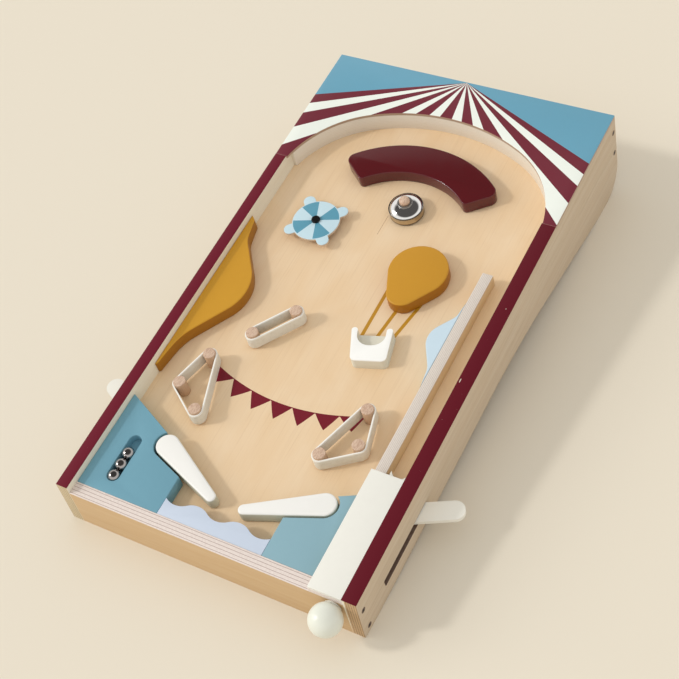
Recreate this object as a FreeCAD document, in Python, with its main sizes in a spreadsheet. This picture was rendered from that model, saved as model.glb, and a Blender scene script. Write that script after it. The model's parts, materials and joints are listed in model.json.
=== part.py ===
import FreeCAD
import Part
import math
import os
from types import SimpleNamespace

from FreeCAD import Placement, Rotation, Vector

# Tabletop bagatelle: a shallow wooden case whose playing board leans towards the player.
# Board coordinates, in millimetres: x from the centre line to the right, y from the front
# edge of the rim to the rear, z up from the top of the playing board. The whole board is
# then tilted about x, so that the case stands on its front edge and its two rear feet.


class Size:
    """Driving sizes, in millimetres, degrees or counts; each becomes a named cell."""

    # Case
    case_width = 300.0  # across the side panels
    case_length = 547.0  # front to rear along the rim
    panel_thickness = 11.5  # side panels
    rim_height = 22.0  # rim above the playing board
    tilt_angle = 4.56  # lean of the board to the table
    front_depth = 31.0  # front corner below the playing board
    front_foot = 24.0  # length of the flat at the front corner
    rear_foot = 52.5  # rear foot, from the rear edge to its front corner
    belly_slope = 11.3  # angle of the lower edge towards the foot
    belly_radius = 663.0  # sweep of the lower edge
    heel_radius = 60.0  # turn into the rear foot
    rear_radius = 30.0  # rear lower corner
    wall_thickness = 12.0  # front and rear walls
    rear_wall_depth = 45.0  # rear wall below the playing board
    field_thickness = 6.0  # playing board
    rail_width = 8.0  # rails that carry the playing board
    rail_height = 10.0  # rails that carry the playing board
    rail_start = 126.0  # front end of the rails
    cleat_length = 80.0  # block behind the front wall

    # Panel nails
    nail_radius = 1.2  # panel nails
    nail_length = 15.0  # panel nails
    nail_inset = 5.5  # from the wall's outer face
    nail_upper = 3.0  # upper nail above the playing board
    nail_lower = 25.0  # lower nail below the playing board

    # Arch
    arch_depth = 144.0  # printed plate, from the rear edge to its front ends
    arch_setback = 8.0  # how far the frame starts behind the plate's front ends
    arch_margin = 50.0  # crown of the opening to the rear edge
    crown_radius = 182.0  # middle of the arch
    corner_span = 58.5  # from the wall to the middle arc
    cap_thickness = 3.0  # printed plate over the arch

    # Glued blocks
    block_height = 14.0  # glued blocks above the playing board
    joint_gap = 0.2  # play between neighbouring fitted pieces
    block_overhang = 27.2  # from a flipper's pivot to its block's inner edge
    wave_thickness = 1.6  # plate over the drain
    wave_reach = 28.3  # mean rear edge of the drain plate
    wave_height = 3.2  # rise of each wave
    wave_count = 5.0  # half waves along the drain plate
    arc_channel = 33.7  # from the arch's crown to the curved block
    arc_aside = 0.8  # centre of the curved block, left of the centre line
    arc_outer = 113.8  # outer radius of the curved block
    arc_width = 35.3  # curved block across
    arc_half_angle = 44.8  # half the sweep of the curved block
    arc_turn = 0.8  # turn of the curved block to the left
    arc_outer_corner = 9.0  # outer corners of the curved block
    arc_inner_corner = 4.0  # inner corners of the curved block

    # Side hills
    hill_height = 14.0  # both side blocks
    left_crest_shift = 8.8  # corner of the left hill's crest, behind the field's middle
    left_crest = 50.3  # corner of the left hill's crest, from the wall
    left_crest_bend = 43.0  # round of the left hill's crest
    left_front_run = 103.3  # from that corner to the left hill's front tip
    left_tip = 2.0  # thickness of the left hill's front tip
    left_flank = 6.2  # width of the left hill's front flank
    left_flank_end = 36.0  # rear end of that flank, from the tip
    left_flank_bend = 60.0  # bend from that flank towards the crest
    left_rear_run = 82.7  # from the crest's corner to the left hill's rear end
    left_waist = 10.0  # width of the left hill behind the crest
    left_waist_back = 28.0  # from the left hill's rear end to its waist
    left_waist_bend = 25.0  # bend at the left hill's waist
    left_heel = 4.8  # width of the left hill's rear end
    left_heel_back = 4.5  # rise of the left hill's slanted rear end
    left_heel_bend = 1.5  # round of the left hill's rear corner
    right_setback = 35.5  # from the divider's rear end to the right hill
    right_length = 97.0  # right hill along the divider
    right_crest = 21.0  # corner of the right hill's crest, from the divider
    right_crest_run = 43.3  # from the right hill's rear end to that corner
    right_crest_bend = 21.0  # round of the right hill's crest
    right_toe = 2.4  # width of the right hill's front slope
    right_toe_end = 21.0  # from the right hill's front tip to that slope
    right_toe_bend = 20.0  # bend from that slope towards the crest
    right_heel = 1.8  # width of the right hill's rear slope
    right_heel_end = 17.0  # from the right hill's rear end to that slope
    right_heel_bend = 12.0  # bend from the crest to that slope

    # Balloon and basket
    crown_aside = 58.0  # middle of the balloon's round top, from the divider
    crown_shift = 83.5  # middle of the balloon's round top, behind the field's middle
    crown_round = 28.5  # balloon's round top
    chin_aside = 3.0  # balloon's lower end, left of the top's middle
    chin_drop = 27.5  # balloon's lower end, in front of the top's middle
    chin_round = 15.0  # balloon's lower end
    basket_aside = 1.4  # middle of the basket's lower edge, left of the round top's
    basket_drop = 106.6  # middle of the basket's lower edge, in front of the round top's
    basket_turn = 16.6  # basket on the board
    basket_width = 39.0  # basket across its top
    basket_length = 35.5  # basket from its lower edge to the cheeks' ends
    basket_height = 13.0  # basket above the playing board
    basket_taper = 4.5  # how far the lower corners are drawn in
    basket_corner = 5.0  # basket's lower corners
    basket_cheek = 6.5  # width of each cheek at the scoop
    cheek_flare = 0.6  # how much a cheek narrows to its end
    cheek_round = 2.6  # corners of a cheek's end
    scoop_floor = 16.5  # front of the scoop from the lower edge
    scoop_relief = 0.5  # flat between the scoop's two rounded corners
    sill_height = 4.0  # low shelf in the scoop
    sill_length = 33.0  # shelf from the lower edge
    sill_corner = 1.5  # shelf's rear corners

    # Launch lane and plunger
    divider_width = 10.5  # lane divider
    lane_width = 23.0  # launch lane
    lane_mouth = 64.5  # from the arch's front ends to the lane divider
    cover_thickness = 4.0  # plate over the plunger
    cover_rear = 115.5  # rear edge of the plate over the plunger
    ledge_width = 3.0  # strip under the plate's right edge
    ledge_height = 5.0  # strip under the plate's right edge
    rod_radius = 4.0  # plunger rod
    rod_height = 7.5  # plunger axis above the playing board
    rod_play = 0.06  # radial clearance of the plunger rod
    bush_wall = 2.0  # plunger bush
    bush_flange = 1.5  # how far the bush's flange stands out sideways
    bush_flange_thickness = 0.8  # bush's flange
    knob_radius = 14.6  # plunger knob
    knob_flat = 12.4  # knob's flat from its centre
    seat_gap = 0.3  # gap at a resting contact
    striker_width = 15.0  # plunger head
    striker_front = 100.0  # front face of the plunger head
    striker_rear = 122.4  # tips of the plunger head
    striker_top = 16.0  # plunger head above the playing board
    striker_notch = 8.0  # radius of the hollow that meets the ball
    plunger_travel = 35.0  # pull of the plunger
    coil_wire = 0.9  # wire of the plunger's spring
    coil_play = 0.7  # spring's clearance round the rod
    coil_turns = 22.0  # turns of the plunger's spring

    # Flippers and levers
    pivot_inset = 25.0  # flipper pivots from the lane divider
    pivot_y = 74.0  # flipper pivots from the front
    rest_angle = 25.4  # flippers and levers at rest
    swing_angle = 42.0  # stroke of the flippers and levers
    flipper_big = 11.0  # radius of the flipper's pivot end
    flipper_tip = 5.0  # radius of the flipper's tip
    tip_clearance = 23.4  # between the tips of the resting flippers
    flipper_lift = 0.6  # flipper above the playing board
    flipper_height = 13.0  # top of the flipper above the playing board
    socket_gap = 2.0  # flipper to its block
    shaft_radius = 4.0  # flipper shaft
    shaft_play = 0.05  # radial clearance of the flipper shaft
    sleeve_wall = 2.0  # bush of the flipper shaft
    sleeve_flange = 2.0  # flange of the shaft's bush, outwards
    sleeve_flange_thickness = 1.0  # flange of the shaft's bush
    lever_width = 18.0  # side lever
    lever_length = 115.0  # pivot to the lever's tip
    lever_top = 9.5  # lever below the playing board's top
    lever_thickness = 4.5  # side lever
    hub_radius = 9.0  # boss round the lever's shaft
    slot_spare = 5.74  # from the pushed lever to the slot's front end
    slot_play = 0.6  # from the resting lever to the slot's rear end
    slot_top = 8.5  # lever slot below the playing board's top
    slot_height = 9.0  # lever slot
    slot_corner = 1.5  # corners of the lever slot
    washer_thickness = 1.0  # washer under the lever
    washer_radius = 8.0  # washer under the lever
    screw_radius = 1.6  # small screws
    screw_head = 3.5  # small screws
    screw_head_height = 2.2  # small screws
    return_wire = 0.9  # wire of the return springs
    return_radius = 3.4  # mean radius of the return springs
    return_pitch = 1.5  # pitch of the return springs
    return_turns = 22.0  # turns of the return springs
    hook_reach = 40.0  # pivot to the spring's screw on the lever
    hook_offset = 5.0  # spring's screw from the lever's middle
    spring_drop = 1.2  # return spring below the lever

    # Balls, bumpers, spinner and bell
    ball_radius = 6.0  # steel balls
    ball_count = 3.0  # steel balls
    ball_gap = 0.02  # between resting balls, and between a ball and its tray
    tray_inset = 28.1  # middle of the ball tray, from the wall
    tray_front = 24.1  # front end of the ball tray
    tray_length = 48.4  # ball tray
    tray_width = 12.5  # ball tray
    tray_depth = 8.5  # ball tray
    peg_radius = 5.8  # bumper pegs
    peg_height = 18.0  # bumper pegs
    band_thickness = 1.5  # rubber bands
    band_bottom = 2.0  # rubber bands above the playing board
    band_height = 13.5  # rubber bands
    spinner_inset = 61.7  # spinner, from the wall
    spinner_shift = 108.9  # spinner, behind the field's middle
    spinner_radius = 23.8  # spinner disc
    spinner_lift = 6.3  # spinner above the playing board
    spinner_thickness = 3.0  # spinner disc
    tab_reach = 26.6  # centre of each spinner tab
    tab_radius = 6.0  # round end of each spinner tab
    tab_angle = 42.0  # first spinner tab
    tab_count = 4.0  # spinner tabs
    axle_radius = 2.5  # spinner axle
    axle_play = 0.08  # radial clearance of the spinner
    axle_head = 4.3  # head of the spinner's screw
    bell_clearance = 20.8  # from the bell to the curved block
    bell_radius = 17.0  # bell
    bell_wall = 1.2  # bell
    bell_lift = 1.2  # bell above the playing board
    bell_top = 15.0  # top of the bell above the playing board
    bell_shoulder = 5.0  # round shoulder of the bell
    post_radius = 6.0  # post inside the bell
    neck_radius = 3.0  # post's neck through the bell
    collar_radius = 7.5  # collar on the bell
    collar_thickness = 1.2  # collar on the bell
    button_radius = 5.2  # wooden button on the bell
    button_height = 5.5  # wooden button on the bell


# Centres of the bumper pegs, in groups that share one rubber band. The upper and left groups
# are placed from the left wall, the right one from the lane divider; the upper group from the
# middle of the field, the lower ones from the flipper pivots.
BUMPERS = {
    "upper": [(72.6, -33.6), (99.7, 2.0)],
    "left": [(45.9, 96.6), (35.3, 60.1), (64.1, 39.9)],
    "right": [(-31.9, 94.5), (-51.1, 40.1), (-23.0, 59.8)],
}

document = FreeCAD.newDocument("Bagatelle")
sheet = document.addObject("Spreadsheet::Sheet", "Sizes")
names = [name for name in vars(Size) if not name.startswith("_")]
for row, name in enumerate(names, 1):
    sheet.set("A%d" % row, name)
    sheet.set("B%d" % row, str(getattr(Size, name)))
    sheet.setAlias("B%d" % row, name)
document.recompute()
s = SimpleNamespace(**{name: float(sheet.get(name)) for name in names})

# Places that follow from the sizes.
tilt = math.radians(s.tilt_angle)
half_width = s.case_width / 2
inner_x = half_width - s.panel_thickness
wall_rear = s.wall_thickness
rear_wall_front = s.case_length - s.wall_thickness
cap_bottom = s.rim_height - s.cap_thickness
cover_bottom = s.rim_height - s.cover_thickness
divider_right = inner_x - s.lane_width
divider_left = divider_right - s.divider_width
lane_x = (divider_right + inner_x) / 2
arch_front = s.case_length - s.arch_depth
arch_crown = s.case_length - s.arch_margin
divider_rear = arch_front - s.lane_mouth
field_middle = (s.pivot_y + arch_front) / 2
pivot_x = divider_left - s.pivot_inset
drain_half_width = pivot_x - s.block_overhang
tip_x = s.tip_clearance / 2 + s.flipper_tip
flipper_reach = (pivot_x - tip_x) / math.cos(math.radians(s.rest_angle))
tray_x = inner_x - s.tray_inset
arc_inner = s.arc_outer - s.arc_width
arc_centre = arch_crown - s.arc_channel - s.arc_outer
lever_bottom = -s.lever_top - s.lever_thickness
bush_radius = s.rod_radius + s.rod_play + s.bush_wall
sleeve_radius = s.shaft_radius + s.shaft_play + s.sleeve_wall
socket_radius = s.flipper_big + s.socket_gap
parts = []


def front_face(z):
    """y of the plumb front face at height z."""
    return -(s.rim_height - z) * math.tan(tilt)


def ground(y):
    """Height of the table under the tilted board."""
    corner = front_face(-s.front_depth)
    return -s.front_depth - (y - corner) * math.tan(tilt)


def polar(centre, radius, angle):
    """Point at an angle in degrees round a centre in the sketch plane."""
    turn = math.radians(angle)
    return (centre[0] + radius * math.cos(turn), centre[1] + radius * math.sin(turn))


def flat(point):
    return Vector(point[0], point[1], 0)


def line(start, end):
    return Part.LineSegment(flat(start), flat(end))


def arc(centre, radius, first, last):
    """Arc from one angle to another, through the angle halfway."""
    ends = [polar(centre, radius, angle) for angle in (first, (first + last) / 2, last)]
    return Part.Arc(*[flat(end) for end in ends])


def circle(centre, radius):
    return Part.Circle(flat(centre), Vector(0, 0, 1), radius)


def mirrored(edges):
    """The same outline on the other side of the centre line."""
    flipped = []
    for edge in edges:
        middle = edge.value((edge.FirstParameter + edge.LastParameter) / 2)
        points = [Vector(-point.x, point.y, 0)
                  for point in (edge.StartPoint, middle, edge.EndPoint)]
        if isinstance(edge, Part.LineSegment):
            flipped.append(Part.LineSegment(points[0], points[2]))
        else:
            flipped.append(Part.Arc(*points))
    return flipped


def rounded(corners):
    """Closed outline of straight runs whose corners (x, y, radius) are rounded by tangent arcs."""
    joints = []
    for index, (x, y, radius) in enumerate(corners):
        here = flat((x, y))
        before = (flat(corners[index - 1]) - here).normalize()
        after = (flat(corners[(index + 1) % len(corners)]) - here).normalize()
        if radius == 0:
            joints.append((here, None, here))
            continue
        half = before.getAngle(after) / 2
        reach = radius / math.tan(half)
        inward = (before + after).normalize()
        nearest = here + inward * (radius / math.sin(half) - radius)
        joints.append((here + before * reach, nearest, here + after * reach))
    edges = []
    for index, (start, middle, end) in enumerate(joints):
        if middle is not None:
            edges.append(Part.Arc(start, middle, end))
        following = joints[(index + 1) % len(joints)][0]
        if (following - end).Length > 1e-6:
            edges.append(Part.LineSegment(end, following))
    return edges


def hull(circles):
    """Outline stretched round circles (x, y, radius) listed counter-clockwise."""
    tangents = []
    for index, (x, y, radius) in enumerate(circles):
        other = circles[(index + 1) % len(circles)]
        gap = math.hypot(other[0] - x, other[1] - y)
        heading = math.degrees(math.atan2(other[1] - y, other[0] - x))
        lean = math.degrees(math.acos((radius - other[2]) / gap))
        tangents.append(heading - lean)
    edges = []
    for index, (x, y, radius) in enumerate(circles):
        arrive = tangents[index - 1]
        leave = tangents[index]
        while leave < arrive:
            leave += 360
        edges.append(arc((x, y), radius, arrive, leave))
        other = circles[(index + 1) % len(circles)]
        start = polar((x, y), radius, leave)
        edges.append(line(start, polar(other[:2], other[2], leave)))
    return edges


def register(thing, x=0, y=0, z=0, turn=0, lying=False):
    """Notes a sub-part with its spot in board coordinates; a lying one points to +y."""
    rotation = Rotation(Vector(1, 0, 0), -90) if lying else Rotation(Vector(0, 0, 1), turn)
    parts.append((thing, Placement(Vector(x, y, z), rotation)))
    return thing


def new_body(label):
    body = document.addObject("PartDesign::Body", label)
    body.Label = label
    return body


def new_sketch(body, name, role, edges, offset=0):
    """Sketch with the given edges on one of the body's own origin planes."""
    sketch = body.newObject("Sketcher::SketchObject", name)
    plane = [item for item in body.Origin.OriginFeatures if item.Role == role][0]
    sketch.AttachmentSupport = [(plane, "")]
    sketch.MapMode = "FlatFace"
    sketch.AttachmentOffset = Placement(Vector(0, 0, offset), Rotation())
    sketch.addGeometry(edges, False)
    return sketch


def add_pad(body, sketch, length):
    pad = body.newObject("PartDesign::Pad", "Pad")
    pad.Profile = sketch
    pad.setExpression("Length", length)
    sketch.Visibility = False
    return pad


def add_pocket(body, sketch, depth, reverse=False, both_ways=False):
    """Pocket that has to take material away."""
    document.recompute()
    before = body.Shape.Volume
    pocket = body.newObject("PartDesign::Pocket", "Pocket")
    pocket.Profile = sketch
    pocket.Reversed = reverse
    pocket.Midplane = both_ways
    pocket.setExpression("Length", depth)
    sketch.Visibility = False
    document.recompute()
    if body.Shape.Volume > before - 0.01:
        raise ValueError("a pocket of %s cuts nothing" % body.Label)
    return pocket


def plate(label, edges, thickness, spot, role="XY_Plane"):
    """Body padded from one outline."""
    body = new_body(label)
    add_pad(body, new_sketch(body, label + "_outline", role, edges), thickness)
    return register(body, *spot)


def rectangle(left, front, right, rear):
    corners = [(left, front, 0), (right, front, 0), (right, rear, 0), (left, rear, 0)]
    return rounded(corners)


def box(label, length, width, height, spot):
    """Plain strip whose three sizes are expressions of the sheet."""
    strip = document.addObject("Part::Box", label)
    strip.Label = label
    strip.setExpression("Length", length)
    strip.setExpression("Width", width)
    strip.setExpression("Height", height)
    return register(strip, *spot)


def turned_body(label, profile):
    """Body of revolution about its own upright axis, from a closed profile (radius, height)."""
    body = new_body(label)
    sketch = new_sketch(body, label + "_profile", "XZ_Plane", profile)
    spin = body.newObject("PartDesign::Revolution", "Revolution")
    spin.Profile = sketch
    spin.ReferenceAxis = (sketch, ["V_Axis"])
    spin.Angle = 360
    sketch.Visibility = False
    return body


def turned(label, profile, spot):
    return register(turned_body(label, profile), *spot)


def group(label, members):
    """Like pieces that share one node, each a solid of its own."""
    compound = document.addObject("Part::Compound", label)
    compound.Label = label
    compound.Links = members
    return register(compound)


def group_of_pins(label, ends, radius, height):
    """Equal pins that share one node, each a solid of its own from its end along its axis."""
    pins = []
    for index, (end, axis) in enumerate(ends):
        pin = document.addObject("Part::Cylinder", "%s_%d" % (label, index + 1))
        pin.setExpression("Radius", radius)
        pin.setExpression("Height", height)
        pin.Placement = Placement(Vector(*end), Rotation(Vector(0, 0, 1), axis))
        pins.append(pin)
    return group(label, pins)


def lying_shape(label, shape, spot):
    """Sub-part whose own +z axis points along the board, towards the rear."""
    feature = document.addObject("Part::Feature", label)
    feature.Label = label
    feature.Shape = shape
    return register(feature, *spot, lying=True)


# Case


def panel_outline():
    """Side panel in the (y, z) plane, with the step that carries the arch's plate."""
    corner = front_face(-s.front_depth)
    foot_end = corner + s.front_foot
    belly = ground(foot_end)
    slope = math.tan(math.radians(s.belly_slope))
    heel = s.case_length - s.rear_foot
    turn = heel - (belly - ground(heel)) / slope
    return rounded([
        (0, s.rim_height, 0),
        (corner, -s.front_depth, 0),
        (foot_end, belly, 0),
        (turn, belly, s.belly_radius),
        (heel, ground(heel), s.heel_radius),
        (s.case_length, ground(s.case_length), s.rear_radius),
        (s.case_length, cap_bottom, 0),
        (arch_front, cap_bottom, 0),
        (arch_front, s.rim_height, 0),
    ])


def nail_spots():
    """(y, z) of the nails that hold the walls."""
    rows = (s.nail_inset, s.case_length - s.nail_inset)
    return [(y, z) for y in rows for z in (s.nail_upper, -s.nail_lower)]


def lever_reach_at_panel(angle):
    """Rise of a lever's outline over its pivot where it leaves the case."""
    turn = math.radians(angle)
    return (half_width - pivot_x) * math.tan(turn) + s.lever_width / 2 / math.cos(turn)


def build_panels():
    slot_rear = s.pivot_y + lever_reach_at_panel(s.rest_angle) + s.slot_play
    pushed = lever_reach_at_panel(s.swing_angle - s.rest_angle)
    slot_front = s.pivot_y - pushed - s.slot_spare
    slot = rounded([
        (slot_front, -s.slot_top - s.slot_height, s.slot_corner),
        (slot_rear, -s.slot_top - s.slot_height, s.slot_corner),
        (slot_rear, -s.slot_top, s.slot_corner),
        (slot_front, -s.slot_top, s.slot_corner),
    ])
    holes = [circle(spot, s.nail_radius) for spot in nail_spots()]
    for side, left in (("left", -half_width), ("right", inner_x)):
        label = side + "_side_panel"
        body = plate(label, panel_outline(), "Sizes.panel_thickness", (left,), "YZ_Plane")
        cuts = new_sketch(body, "slot_and_nail_holes", "YZ_Plane", slot + holes)
        add_pocket(body, cuts, "Sizes.panel_thickness", reverse=True)
    heads = [(-half_width, Vector(1, 0, 0)), (half_width, Vector(-1, 0, 0))]
    nails = [((x, y, z), inward) for x, inward in heads for y, z in nail_spots()]
    group_of_pins("panel_nails", nails, "Sizes.nail_radius", "Sizes.nail_length")


def nail_holes(body, spots, span):
    """Holes for the nail ends in both ends of a cross wall."""
    circles = [circle(spot, s.nail_radius) for spot in spots]
    depth = "Sizes.nail_length - Sizes.panel_thickness"
    near = new_sketch(body, "left_nail_holes", "YZ_Plane", circles)
    add_pocket(body, near, depth, reverse=True)
    far = new_sketch(body, "right_nail_holes", "YZ_Plane", circles, span)
    add_pocket(body, far, depth)


def build_walls():
    """Front wall, lower left of the launch cover, and rear wall."""
    inner = "Sizes.case_width - 2 * Sizes.panel_thickness"
    side = rounded([
        (front_face(cover_bottom), cover_bottom, 0),
        (front_face(-s.front_depth), -s.front_depth, 0),
        (wall_rear, ground(wall_rear), 0),
        (wall_rear, cover_bottom, 0),
    ])
    wall = plate("front_wall", side, inner, (-inner_x,), "YZ_Plane")
    step = rectangle(-1, s.block_height, divider_left + inner_x, cover_bottom + 1)
    add_pocket(wall, new_sketch(wall, "lower_top", "XZ_Plane", step),
               "6 * Sizes.wall_thickness", both_ways=True)
    bore = [circle((lane_x + inner_x, s.rod_height), bush_radius)]
    add_pocket(wall, new_sketch(wall, "bush_bore", "XZ_Plane", bore),
               "6 * Sizes.wall_thickness", both_ways=True)
    nail_holes(wall, nail_spots()[:2], 2 * inner_x)
    rear = rectangle(rear_wall_front, -s.rear_wall_depth, s.case_length, cap_bottom)
    wall = plate("rear_wall", rear, inner, (-inner_x,), "YZ_Plane")
    nail_holes(wall, nail_spots()[2:], 2 * inner_x)


def build_playing_board():
    field = plate("playfield", rectangle(-inner_x, wall_rear, inner_x, rear_wall_front),
                  "Sizes.field_thickness", (0, 0, -s.field_thickness))
    holes = [circle((side * pivot_x, s.pivot_y), sleeve_radius) for side in (-1, 1)]
    add_pocket(field, new_sketch(field, "shaft_holes", "XY_Plane", holes),
               "Sizes.field_thickness", reverse=True)
    rail = "Sizes.case_length - Sizes.wall_thickness - Sizes.rail_start"
    under = -s.field_thickness - s.rail_height
    for side, left in (("left", -inner_x), ("right", inner_x - s.rail_width)):
        box(side + "_support_rail", "Sizes.rail_width", rail, "Sizes.rail_height",
            (left, s.rail_start, under))
    box("front_support_cleat", "Sizes.cleat_length", "Sizes.rail_width", "Sizes.rail_height",
        (-s.cleat_length / 2, wall_rear, under))


# Arch at the rear


def arch_curve(front):
    """Rear edge of the playing space, right to left: a shallow crown between two side arcs."""
    crown_y = arch_crown - s.crown_radius
    reach = inner_x - s.corner_span
    spread = math.degrees(math.asin(reach / s.crown_radius))
    lift = 90 - spread
    corner = s.corner_span / (1 - math.cos(math.radians(lift)))
    knee = polar((0, crown_y), s.crown_radius, lift)
    centre = polar(knee, -corner, lift)
    start = math.degrees(math.asin((front - centre[1]) / corner))
    opposite = (-centre[0], centre[1])
    return [
        arc(centre, corner, start, lift),
        arc((0, crown_y), s.crown_radius, lift, 180 - lift),
        arc(opposite, corner, 180 - lift, 180 - start),
    ]


def arch_outline(half, front, rear):
    """Outline of a layer that frames the arch."""
    curve = arch_curve(front)
    right = curve[0].StartPoint
    left = curve[-1].EndPoint
    path = [(left.x, left.y), (-half, front), (-half, rear), (half, rear), (half, front),
            (right.x, right.y)]
    return curve + [line(start, end) for start, end in zip(path, path[1:])]


def build_arch():
    frame = arch_outline(inner_x, arch_front + s.arch_setback, rear_wall_front)
    plate("arch_frame", frame, "Sizes.rim_height - Sizes.cap_thickness", (0, 0, 0))
    cap = arch_outline(half_width, arch_front, s.case_length)
    plate("arch_cap", cap, "Sizes.cap_thickness", (0, 0, cap_bottom))


# Glued blocks


def flipper_block_outline(side, outer):
    """Block beside a flipper: it follows the resting flipper at an even gap."""
    heading = 180 + s.rest_angle
    taper = math.acos((s.flipper_big - s.flipper_tip) / flipper_reach)
    normal = heading + math.degrees(taper)
    pivot = (pivot_x, s.pivot_y)
    low = polar(pivot, socket_radius, normal)
    run = (low[0] - drain_half_width) / -math.cos(math.radians(normal - 90))
    tip = polar(low, run, normal - 90)
    top = polar(pivot, socket_radius, 2 * s.rest_angle + 6)
    slope = math.tan(math.radians(s.rest_angle))
    front = wall_rear + s.joint_gap
    edges = [
        line((drain_half_width, front), (outer, front)),
        line((outer, front), (outer, top[1] + (outer - top[0]) * slope)),
        line((outer, top[1] + (outer - top[0]) * slope), top),
        arc(pivot, socket_radius, 2 * s.rest_angle + 6, normal - 360),
        line(low, tip),
        line(tip, (drain_half_width, front)),
    ]
    return edges if side > 0 else mirrored(edges)


def build_flipper_blocks():
    left = plate("left_flipper_block", flipper_block_outline(-1, inner_x - s.joint_gap),
                 "Sizes.block_height", (0,))
    radius = s.tray_width / 2
    ends = [(-tray_x, s.tray_front + radius, radius),
            (-tray_x, s.tray_front + s.tray_length - radius, radius)]
    tray = new_sketch(left, "ball_tray", "XY_Plane", hull(ends), s.block_height)
    add_pocket(left, tray, "Sizes.tray_depth")
    plate("right_flipper_block", flipper_block_outline(1, divider_left - s.joint_gap),
          "Sizes.block_height", (0,))


def build_drain_plate():
    """Plate with a wavy rear edge, level with the blocks; the lost ball rolls under it."""
    half = drain_half_width - s.joint_gap
    front = wall_rear + s.joint_gap
    count = int(s.wave_count)
    step = 2 * half / count
    edges = [line((-half, s.wave_reach), (-half, front)), line((-half, front), (half, front)),
             line((half, front), (half, s.wave_reach))]
    for index in range(count):
        start = half - index * step
        rise = s.wave_height if index % 2 else -s.wave_height
        middle = flat((start - step / 2, s.wave_reach + rise))
        edges.append(Part.Arc(flat((start, s.wave_reach)), middle,
                              flat((start - step, s.wave_reach))))
    plate("wave_plate", edges, "Sizes.wave_thickness",
          (0, 0, s.block_height - s.wave_thickness))


def build_hills():
    """Blocks that narrow the playing space: one on the left wall, one on the lane divider."""
    wall = -inner_x + s.joint_gap
    crest = field_middle + s.left_crest_shift
    front = crest - s.left_front_run
    rear = crest + s.left_rear_run
    mustard = rounded([
        (wall, rear, 0), (wall, front, 0),
        (wall + s.left_tip, front + s.left_tip, s.left_tip / 2),
        (wall + s.left_flank, front + s.left_flank_end, s.left_flank_bend),
        (wall + s.left_crest, crest, s.left_crest_bend),
        (wall + s.left_waist, rear - s.left_waist_back, s.left_waist_bend),
        (wall + s.left_heel, rear - s.left_heel_back, s.left_heel_bend),
    ])
    plate("mustard_hill", mustard, "Sizes.hill_height", (0,))
    side = divider_left - s.joint_gap
    rear = divider_rear - s.right_setback
    front = rear - s.right_length
    pale = rounded([
        (side, front, 0), (side, rear, 0),
        (side - s.right_heel, rear - s.right_heel_end, s.right_heel_bend),
        (side - s.right_crest, rear - s.right_crest_run, s.right_crest_bend),
        (side - s.right_toe, front + s.right_toe_end, s.right_toe_bend),
    ])
    plate("blue_hill", pale, "Sizes.hill_height", (0,))


def build_arc_block():
    """Curved block in front of the arch, with rounded corners."""
    centre = (-s.arc_aside, arc_centre)
    low = 90 + s.arc_turn - s.arc_half_angle
    high = 90 + s.arc_turn + s.arc_half_angle
    outer, inner = s.arc_outer_corner, s.arc_inner_corner
    outer_turn = math.degrees(math.asin(outer / (s.arc_outer - outer)))
    inner_turn = math.degrees(math.asin(inner / (arc_inner + inner)))
    outer_leg = (s.arc_outer - outer) * math.cos(math.radians(outer_turn))
    inner_leg = (arc_inner + inner) * math.cos(math.radians(inner_turn))
    edges = [arc(centre, s.arc_outer, low + outer_turn, high - outer_turn)]
    left_outer = polar(centre, s.arc_outer - outer, high - outer_turn)
    edges.append(arc(left_outer, outer, high - outer_turn, high + 90))
    edges.append(line(polar(centre, outer_leg, high), polar(centre, inner_leg, high)))
    left_inner = polar(centre, arc_inner + inner, high - inner_turn)
    edges.append(arc(left_inner, inner, high + 90, high + 180 - inner_turn))
    edges.append(arc(centre, arc_inner, high - inner_turn, low + inner_turn))
    right_inner = polar(centre, arc_inner + inner, low + inner_turn)
    edges.append(arc(right_inner, inner, low - 180 + inner_turn, low - 90))
    edges.append(line(polar(centre, inner_leg, low), polar(centre, outer_leg, low)))
    right_outer = polar(centre, s.arc_outer - outer, low + outer_turn)
    edges.append(arc(right_outer, outer, low - 90, low + outer_turn))
    plate("arc_block", edges, "Sizes.block_height", (0,))


def build_balloon():
    """Balloon: a rounded block, with a scooped basket that catches a ball below it."""
    crown_x = divider_left - s.crown_aside
    crown_y = field_middle + s.crown_shift
    crown = (crown_x, crown_y, s.crown_round)
    chin = (crown_x - s.chin_aside, crown_y - s.chin_drop, s.chin_round)
    plate("balloon_block", hull([chin, crown]), "Sizes.block_height", (0,))
    half = s.basket_width / 2
    foot = half - s.basket_taper
    scoop = half - s.basket_cheek
    mouth = scoop + s.cheek_flare
    tip = min(s.cheek_round, (half - mouth) * 0.45)
    bend = scoop - s.scoop_relief
    cheek = rounded([
        (-foot, 0, s.basket_corner), (foot, 0, s.basket_corner),
        (half, s.basket_length, tip), (mouth, s.basket_length, tip),
        (scoop, s.scoop_floor, bend), (-scoop, s.scoop_floor, bend),
        (-mouth, s.basket_length, tip), (-half, s.basket_length, tip),
    ])
    body = plate("basket_block", cheek, "Sizes.basket_height",
                 (crown_x - s.basket_aside, crown_y - s.basket_drop, 0, s.basket_turn))
    sill_half = half + s.cheek_flare
    sill = rounded([
        (-foot, 0, s.basket_corner), (foot, 0, s.basket_corner),
        (sill_half, s.sill_length, s.sill_corner), (-sill_half, s.sill_length, s.sill_corner),
    ])
    shelf = new_sketch(body, "sill_outline", "XY_Plane", sill)
    add_pad(body, shelf, "Sizes.sill_height")


# Launch lane


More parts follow.
